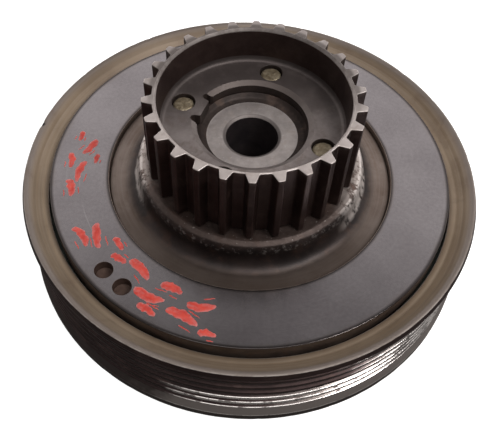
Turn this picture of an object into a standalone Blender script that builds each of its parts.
"""Crankshaft pulley with a timing belt sprocket, a ribbed accessory belt ring and a
torsional damper. Metres, +Z up; the axis of rotation is the world Z axis, the
sprocket points up and the lower flange of the belt ring stands on z = 0."""

import math

import bmesh
import bpy
from mathutils import Matrix, Vector

for old in list(bpy.data.objects):
    bpy.data.objects.remove(old, do_unlink=True)

# Dimensions are in millimetres and degrees. R is a radius, Z a height.
MM = 0.001
GAP = 0.3                      # clearance between neighbouring pieces
SEGMENTS = 48                  # round the big turned pieces
OVERSHOOT = 3                  # how far a drill runs past the face it opens

# ---- hub, with the rivet row on its skirt --------------------------------------------
COVER_Z0, COVER_Z1 = 3.0, 4.4
BORE_R = 7.95
HUB_FACE = 45.0
HUB_TOP = 46.6
BOSS_R = 26.8                  # the boss inside the sprocket
LEDGE = 36.4                   # the ledge below the sprocket
NECK_R = 35.6
COVE_WIDTH, COVE_HEIGHT = 4.3, 4.9
COVE_STEPS = 4
SHOULDER = 27.7
SHOULDER_R = 45.0
FLANGE_R = 62.8
FLANGE_TOP = 20.0
FLANGE_BOTTOM = 16.0
BOLT_SEAT = 14.0
SKIRT_R = 47.7
SKIRT_BOTTOM = COVER_Z1 + GAP

# ---- timing sprocket -----------------------------------------------------------------
TEETH = 26
TOOTH_PHASE = -90.56           # direction of one tooth
TIP_R, TIP_HALF_ANGLE = 32.4, 1.35
ROOT_R, ROOT_HALF_ANGLE = 29.4, 3.85
SPROCKET_TOP = 62.2
SPROCKET_FOOT = LEDGE + GAP
CUP_FLOOR = 50.5
CUP_FLOOR_BOTTOM = HUB_TOP + GAP
OPENING_R = 16.76
OPENING_ARC_START = 22.3       # the round part starts this far from the tab's direction
OPENING_OVERSHOOT = 2          # of the cutters for the opening and the underside
TAB_ANGLE = 160.0              # direction of the key tab
# One side of the tab along +X, as (x, y): the end of the flat, then round the notch.
TAB_SIDE = [(15.6, 3.3), (17.3, 3.7), (18.1, 4.4), (18.1, 5.4), (17.3, 6.0), (16.2, 5.9)]
# The block that keeps the lead-in chamfer off the tab, as (x, y) along +X.
TAB_BLOCK = [(5, -5.5), (30, -5.5), (30, 5.5), (5, 5.5)]
TAB_BLOCK_REACH = 4            # above and below the cup floor

# ---- drive pins ----------------------------------------------------------------------
PIN_ANGLES = (75.7, TAB_ANGLE, 248.0, 336.3)
PIN_CIRCLE_R = 22.6
PIN_R = 3.2
PIN_HOLE_R = PIN_R + 0.35      # in the cup floor and in the hub
PIN_TOP = 49.9
PIN_FOOT = 37.0
PIN_SEAT_FLOOR = PIN_FOOT - 0.4

# ---- inertia ring and damping rubber -------------------------------------------------
INERTIA_R0, INERTIA_R1 = SHOULDER_R + GAP, 63.5
INERTIA_Z0, INERTIA_Z1 = 22.3, 29.47
INERTIA_CHAMFER = 0.35
BALANCE_CIRCLE_R = 58.06
BALANCE_ANGLES = (-136.2, -128.3)
BALANCE_HOLE_R = 2.75
BALANCE_DEPTH = 3.2
DAMPER_R0, DAMPER_R1 = 46.2, 62.3
DAMPER_WAIST = 0.5             # how far its two sides are drawn in

# ---- coupling: inner sleeve, rubber, outer sleeve ------------------------------------
SLEEVE_Z0, SLEEVE_Z1 = 4.9, 14.8
INNER_SLEEVE_R0, INNER_SLEEVE_R1 = SKIRT_R + GAP, 49.5
OUTER_SLEEVE_R0, OUTER_SLEEVE_R1 = 60.0, 61.4
COUPLING_Z0, COUPLING_Z1 = 5.6, 14.0
COUPLING_HOLLOW_WIDTH, COUPLING_HOLLOW_DEPTH = 2.8, 1.4

# ---- belt ring and slide bearing -----------------------------------------------------
RIM_TOP = 30.0
LOWER_FLANGE_R = 72.36
UPPER_FLANGE_R = 72.1
CREST_R = 71.5
GROOVE_R = 69.1
GROOVES = 6
GROOVE_HALF_ANGLE = 20
GROOVE_HALF_ROOT = 0.35
RIB_PITCH = 3.56
FIRST_GROOVE = 26.2            # height of the top groove
RING_BORE_R = 65.8             # above the coupling
RING_SEAT_R = OUTER_SLEEVE_R1 + GAP
RING_STEP = 15.4               # height where the seat widens into the bore
BEARING_TOP = 19.8

# ---- rear cover rivets ---------------------------------------------------------------
COVER_R0, COVER_R1 = 40.8, 61.0
RIVETS = 6
FIRST_RIVET_ANGLE = 30
RIVET_CIRCLE_R = 44.0
RIVET_R = 1.7
RIVET_HEAD_R = 3.5
RIVET_TIP = 11.9
RIVET_SEAT_TOP = RIVET_TIP + 0.5
RIVET_STEPS = 12


# ---- helpers -------------------------------------------------------------------------
def new_collection(name):
    collection = bpy.data.collections.new(name)
    bpy.context.scene.collection.children.link(collection)
    return collection


parts = new_collection("crankshaft_pulley")
cutters = new_collection("cutters")


def material(name, colour, roughness, metallic):
    mat = bpy.data.materials.new(name)
    mat.use_nodes = True
    node = next(n for n in mat.node_tree.nodes if n.type == "BSDF_PRINCIPLED")
    node.inputs["Base Color"].default_value = (*colour, 1.0)
    node.inputs["Roughness"].default_value = roughness
    node.inputs["Metallic"].default_value = metallic
    mat.diffuse_color = (*colour, 1.0)
    return mat


def add_object(name, mesh, mat=None):
    """An object with a material is a part; one without is a hidden cutter."""
    ob = bpy.data.objects.new(name, mesh)
    if mat:
        parts.objects.link(ob)
        mesh.materials.append(mat)
    else:
        cutters.objects.link(ob)
        ob.hide_render = True
        ob.display_type = "WIRE"
    return ob


def evaluated_mesh(ob, name):
    bpy.context.view_layer.update()
    depsgraph = bpy.context.evaluated_depsgraph_get()
    mesh = bpy.data.meshes.new_from_object(ob.evaluated_get(depsgraph))
    mesh.name = name
    return mesh


def turned(name, profile, mat=None, steps=SEGMENTS):
    """A turned piece. The profile is (radius, height) and runs down the outer side.
    One that starts on the axis also ends there; any other is closed into a ring."""
    count = len(profile)
    edges = [(i, i + 1) for i in range(count - 1)]
    if profile[0][0] > 0:
        edges.append((count - 1, 0))
    mesh = bpy.data.meshes.new(name)
    mesh.from_pydata([(r * MM, 0.0, z * MM) for r, z in profile], edges, [])
    ob = add_object(name, mesh, mat)
    screw = ob.modifiers.new("Turn", "SCREW")
    screw.axis = "Z"
    screw.angle = 2.0 * math.pi
    screw.steps = screw.render_steps = steps
    screw.use_merge_vertices = True
    screw.merge_threshold = 0.00001
    return ob


def prism(name, outline, z0, z1, mat=None):
    """A flat outline of (x, y), raised from z0 to z1."""
    curve = bpy.data.curves.new(name, "CURVE")
    curve.dimensions = "2D"
    curve.fill_mode = "BOTH"
    curve.extrude = (z1 - z0) * MM / 2
    spline = curve.splines.new("POLY")
    spline.points.add(len(outline) - 1)
    for point, (x, y) in zip(spline.points, outline):
        point.co = (x * MM, y * MM, 0.0, 1.0)
    spline.use_cyclic_u = True
    curve_ob = bpy.data.objects.new(name + "_curve", curve)
    cutters.objects.link(curve_ob)
    mesh = evaluated_mesh(curve_ob, name)
    mesh.transform(Matrix.Translation((0, 0, (z0 + z1) * MM / 2)))
    bpy.data.objects.remove(curve_ob, do_unlink=True)
    bpy.data.curves.remove(curve)

    # the caps and the wall come out as separate sheets: weld them
    bm = bmesh.new()
    bm.from_mesh(mesh)
    bmesh.ops.remove_doubles(bm, verts=bm.verts, dist=1e-6)
    bmesh.ops.recalc_face_normals(bm, faces=bm.faces)
    bm.to_mesh(mesh)
    bm.free()
    mesh.materials.clear()
    return add_object(name, mesh, mat)


def round_cutter(name, radius, z0, z1, place, steps):
    """A straight round cutter, standing at place (x, y)."""
    mesh = bpy.data.meshes.new(name)
    bm = bmesh.new()
    bmesh.ops.create_cone(bm, cap_ends=True, segments=steps, radius1=radius * MM,
                          radius2=radius * MM, depth=(z1 - z0) * MM)
    bm.to_mesh(mesh)
    bm.free()
    ob = add_object(name, mesh)
    ob.location = Vector((*place, (z0 + z1) / 2)) * MM
    return ob


def cut(ob, cutter):
    mod = ob.modifiers.new("Cut " + cutter.name, "BOOLEAN")
    mod.operation = "DIFFERENCE"
    mod.solver = "EXACT"
    mod.object = cutter


def drill(ob, name, radius, z0, z1, places, steps):
    """One round hole at each place; the cutters are numbered from 1."""
    for number, place in enumerate(places, 1):
        cut(ob, round_cutter(f"{name}_{number}", radius, z0, z1, place, steps))


def settle(ob, sharp_angle=32.0):
    """Replaces the modifiers by their result and shades the round faces smooth."""
    mesh = evaluated_mesh(ob, ob.name)
    ob.modifiers.clear()
    ob.data = mesh
    mesh.shade_smooth()
    mesh.set_sharp_from_angle(angle=math.radians(sharp_angle))


def turned_copies(name, profile, mat, steps, places):
    """The same turned piece at each place, numbered from 1."""
    for number, (x, y) in enumerate(places, 1):
        piece = turned(f"{name}_{number}", profile, mat, steps)
        piece.location = (x * MM, y * MM, 0)
        settle(piece)


def ring_section(r0, r1, z0, z1):
    """The rectangular profile of a plain ring."""
    return [(r0, z1), (r1, z1), (r1, z0), (r0, z0)]


def on_circle(radius, degrees):
    angle = math.radians(degrees)
    return radius * math.cos(angle), radius * math.sin(angle)


def towards_tab(outline):
    """Turns an outline built along +X to the tab's direction."""
    cos, sin = on_circle(1, TAB_ANGLE)
    return [(cos * x - sin * y, sin * x + cos * y) for x, y in outline]


PIN_PLACES = [on_circle(PIN_CIRCLE_R, angle) for angle in PIN_ANGLES]
RIVET_PLACES = [on_circle(RIVET_CIRCLE_R, FIRST_RIVET_ANGLE + 360.0 * i / RIVETS)
                for i in range(RIVETS)]

# ---- materials -----------------------------------------------------------------------
SINTERED = material("sintered_steel", colour=(0.26, 0.23, 0.22), roughness=0.50, metallic=0.85)
CAST = material("cast_iron", colour=(0.36, 0.32, 0.29), roughness=0.60, metallic=0.75)
PIN_STEEL = material("pin_steel", colour=(0.45, 0.42, 0.33), roughness=0.55, metallic=0.80)
SATIN = material("machined_steel", colour=(0.42, 0.41, 0.43), roughness=0.38, metallic=0.90)
TAN = material("oxidised_steel", colour=(0.40, 0.35, 0.30), roughness=0.45, metallic=0.80)
RUBBER = material("black_rubber", colour=(0.03, 0.03, 0.03), roughness=0.85, metallic=0.0)
PRESSED = material("pressed_steel", colour=(0.30, 0.29, 0.29), roughness=0.45, metallic=0.85)
BEARING = material("bearing_polymer", colour=(0.10, 0.12, 0.10), roughness=0.60, metallic=0.0)
RIVET = material("rivet_steel", colour=(0.45, 0.44, 0.43), roughness=0.40, metallic=0.90)


# ---- pieces --------------------------------------------------------------------------
def tooth_outline():
    """Each tooth is a straight-sided trapezium."""
    corners = [(ROOT_R, -ROOT_HALF_ANGLE), (TIP_R, -TIP_HALF_ANGLE),
               (TIP_R, TIP_HALF_ANGLE), (ROOT_R, ROOT_HALF_ANGLE)]
    return [on_circle(radius, TOOTH_PHASE + 360.0 * tooth / TEETH + offset)
            for tooth in range(TEETH) for radius, offset in corners]


def opening_outline():
    """The floor opening: a circle with a flat key tab and a relief notch at each of
    the tab's ends."""
    # the circle's corners stand in the same directions as those of the turned pieces
    step, start = 360.0 / SEGMENTS, OPENING_ARC_START
    first = math.ceil((TAB_ANGLE + start) / step + 0.2)
    last = math.floor((TAB_ANGLE + 360.0 - start) / step - 0.2)
    inner_turns = [step * k - TAB_ANGLE for k in range(first, last + 1)]
    arc = [on_circle(OPENING_R, turn) for turn in [start, *inner_turns, 360.0 - start]]
    return towards_tab(TAB_SIDE + arc + [(x, -y) for x, y in reversed(TAB_SIDE)])


def build_sprocket():
    sprocket = prism("timing_sprocket", tooth_outline(), SPROCKET_FOOT, SPROCKET_TOP, SINTERED)
    cup = turned("cut_cup", [
        (0, SPROCKET_TOP + 1.2), (30.1, SPROCKET_TOP + 1.2), (28.15, SPROCKET_TOP - 0.75),
        (27.65, CUP_FLOOR + 1.6), (27.2, CUP_FLOOR + 0.55), (26.3, CUP_FLOOR), (0, CUP_FLOOR)])
    # the hollow below the cup floor, round the hub's boss
    skirt_r = BOSS_R + GAP
    skirt_foot = SPROCKET_FOOT - OPENING_OVERSHOOT
    skirt = turned("cut_skirt", [(0, CUP_FLOOR_BOTTOM), (skirt_r, CUP_FLOOR_BOTTOM),
                                 (skirt_r, skirt_foot), (0, skirt_foot)])
    opening = prism("cut_opening", opening_outline(),
                    CUP_FLOOR_BOTTOM - OPENING_OVERSHOOT, CUP_FLOOR + OPENING_OVERSHOOT)
    # the lead-in chamfer stops at the tab
    lead = turned("cut_lead", [(0, CUP_FLOOR + 0.9), (19.8, CUP_FLOOR + 0.9),
                               (16.3, CUP_FLOOR - 1.2), (0, CUP_FLOOR - 1.2)])
    cut(lead, prism("cut_tab_block", towards_tab(TAB_BLOCK),
                    CUP_FLOOR - TAB_BLOCK_REACH, CUP_FLOOR + TAB_BLOCK_REACH))
    for cutter in (cup, skirt, opening, lead):
        cut(sprocket, cutter)
    drill(sprocket, "cut_floor_hole", PIN_HOLE_R, CUP_FLOOR_BOTTOM - OVERSHOOT,
          CUP_FLOOR + OVERSHOOT, PIN_PLACES, steps=24)
    settle(sprocket)


def build_pins():
    profile = [(0, PIN_TOP), (2.3, PIN_TOP - 0.15), (PIN_R, PIN_TOP - 0.6),
               (PIN_R, PIN_FOOT + 0.5), (PIN_R - 0.5, PIN_FOOT), (0, PIN_FOOT)]
    turned_copies("drive_pin", profile, PIN_STEEL, steps=16, places=PIN_PLACES)


def build_hub():
    top = [(BORE_R, HUB_FACE - 0.75), (9.8, HUB_FACE), (13.8, HUB_FACE), (15.5, HUB_FACE + 0.4),
           (16.7, HUB_TOP), (BOSS_R, HUB_TOP), (BOSS_R, LEDGE), (33.4, LEDGE),
           (35.0, LEDGE - 0.9), (NECK_R, LEDGE - 2.4)]
    # a quarter ellipse from the neck down to the shoulder
    turns = [math.radians(90.0 * k / COVE_STEPS) for k in range(COVE_STEPS + 1)]
    cove = [(NECK_R + COVE_WIDTH * (1 - math.cos(turn)),
             SHOULDER + COVE_HEIGHT * (1 - math.sin(turn))) for turn in turns]
    outer = [(SHOULDER_R, SHOULDER), (SHOULDER_R, FLANGE_TOP), (FLANGE_R, FLANGE_TOP),
             (FLANGE_R, FLANGE_BOTTOM), (SKIRT_R, FLANGE_BOTTOM), (SKIRT_R, SKIRT_BOTTOM)]
    underside = [(40.5, SKIRT_BOTTOM), (38.8, 15.5), (35.6, 22.0), (30.5, 27.0), (25.0, 28.0),
                 (21.3, 25.5), (19.6, BOLT_SEAT), (8.9, BOLT_SEAT), (BORE_R, BOLT_SEAT + 0.9)]
    hub = turned("crank_hub", top + cove + outer + underside, CAST)
    drill(hub, "cut_pin_seat", PIN_HOLE_R, PIN_SEAT_FLOOR, HUB_TOP + OVERSHOOT,
          PIN_PLACES, steps=16)
    drill(hub, "cut_rivet_seat", RIVET_R + GAP, SKIRT_BOTTOM - OVERSHOOT, RIVET_SEAT_TOP,
          RIVET_PLACES, RIVET_STEPS)
    settle(hub)


def build_inertia_ring():
    ring = turned("inertia_ring", [
        (INERTIA_R0, INERTIA_Z1), (INERTIA_R1 - INERTIA_CHAMFER, INERTIA_Z1),
        (INERTIA_R1, INERTIA_Z1 - INERTIA_CHAMFER), (INERTIA_R1, INERTIA_Z0),
        (INERTIA_R0, INERTIA_Z0)], SATIN)
    places = [on_circle(BALANCE_CIRCLE_R, angle) for angle in BALANCE_ANGLES]
    drill(ring, "cut_balance", BALANCE_HOLE_R, INERTIA_Z1 - BALANCE_DEPTH,
          INERTIA_Z1 + OVERSHOOT, places, steps=20)
    settle(ring)


def build_damping_rubber():
    """Lies between the hub's flange and the inertia ring."""
    z0, z1 = FLANGE_TOP + GAP, INERTIA_Z0 - GAP
    middle = (z0 + z1) / 2
    settle(turned("damping_rubber", [
        (DAMPER_R0, z1), (DAMPER_R1, z1), (DAMPER_R1 - DAMPER_WAIST, middle),
        (DAMPER_R1, z0), (DAMPER_R0, z0), (DAMPER_R0 + DAMPER_WAIST, middle)], RUBBER))


def build_coupling():
    """Two sleeves with rubber between them, hollowed at its top and bottom."""
    r0, r1 = INNER_SLEEVE_R1 + GAP, OUTER_SLEEVE_R0 - GAP
    hollow_r0, hollow_r1 = r0 + COUPLING_HOLLOW_WIDTH, r1 - COUPLING_HOLLOW_WIDTH
    hollow_z0 = COUPLING_Z0 + COUPLING_HOLLOW_DEPTH
    hollow_z1 = COUPLING_Z1 - COUPLING_HOLLOW_DEPTH
    settle(turned("inner_sleeve", ring_section(
        INNER_SLEEVE_R0, INNER_SLEEVE_R1, SLEEVE_Z0, SLEEVE_Z1), PRESSED))
    settle(turned("coupling_rubber", [
        (r0, COUPLING_Z1), (hollow_r0, hollow_z1), (hollow_r1, hollow_z1), (r1, COUPLING_Z1),
        (r1, COUPLING_Z0), (hollow_r1, hollow_z0), (hollow_r0, hollow_z0), (r0, COUPLING_Z0)],
        RUBBER))
    settle(turned("outer_sleeve", ring_section(
        OUTER_SLEEVE_R0, OUTER_SLEEVE_R1, SLEEVE_Z0, SLEEVE_Z1), PRESSED))


def build_slide_bearing():
    """Lies between the hub's flange and the belt ring's bore."""
    settle(turned("slide_bearing", ring_section(
        FLANGE_R + GAP, RING_BORE_R - GAP, RING_STEP + GAP, BEARING_TOP), BEARING))


def build_belt_ring():
    slope = math.tan(math.radians(GROOVE_HALF_ANGLE))
    half_mouth = GROOVE_HALF_ROOT + (CREST_R - GROOVE_R) * slope
    dished_rim = [(64.7, 25.85), (66.8, 26.2), (68.6, 27.5), (70.4, 29.5), (71.0, RIM_TOP),
                  (71.6, RIM_TOP - 0.25)]
    upper_flange = [(UPPER_FLANGE_R, RIM_TOP - 1.7), (UPPER_FLANGE_R, RIM_TOP - 2.1)]
    grooves = []
    for groove in range(GROOVES):
        middle = FIRST_GROOVE - RIB_PITCH * groove
        grooves += [(CREST_R, middle + half_mouth), (GROOVE_R, middle + GROOVE_HALF_ROOT),
                    (GROOVE_R, middle - GROOVE_HALF_ROOT), (CREST_R, middle - half_mouth)]
    lower_flange = [(LOWER_FLANGE_R, 3.7), (LOWER_FLANGE_R, 0.8), (71.5, 0.0), (66.6, 0.0)]
    bore = [(64.9, 3.4), (RING_SEAT_R, 4.3), (RING_SEAT_R, RING_STEP), (RING_BORE_R, RING_STEP),
            (RING_BORE_R, 23.6), (64.7, 24.9)]
    settle(turned("pulley_ring", dished_rim + upper_flange + grooves + lower_flange + bore, TAN))


def build_cover():
    """The flat ring below the hub's skirt and the rivets that run up into the skirt."""
    cover = turned("rear_cover", ring_section(COVER_R0, COVER_R1, COVER_Z0, COVER_Z1), PRESSED)
    drill(cover, "cut_cover_hole", RIVET_R + GAP, COVER_Z0 - OVERSHOOT, COVER_Z1 + OVERSHOOT,
          RIVET_PLACES, RIVET_STEPS)
    settle(cover)
    head_top = COVER_Z0 - GAP
    profile = [(0, RIVET_TIP), (RIVET_R, RIVET_TIP - 0.3), (RIVET_R, head_top),
               (RIVET_HEAD_R, head_top), (RIVET_HEAD_R - 0.6, 1.6), (0, 1.0)]
    turned_copies("cover_rivet", profile, RIVET, RIVET_STEPS, RIVET_PLACES)


def add_pivot(name, members):
    """An empty at the origin, as parent of the pieces that turn together."""
    pivot = bpy.data.objects.new(name, None)
    pivot.empty_display_size = 0.02
    parts.objects.link(pivot)
    for member in members:
        bpy.data.objects[member].parent = pivot


build_sprocket()
build_pins()
build_hub()
build_inertia_ring()
build_damping_rubber()
build_coupling()
build_slide_bearing()
build_belt_ring()
build_cover()
add_pivot("pulley_body", ("pulley_ring", "outer_sleeve", "slide_bearing"))
add_pivot("inertia_body", ("inertia_ring",))
bpy.context.view_layer.update()
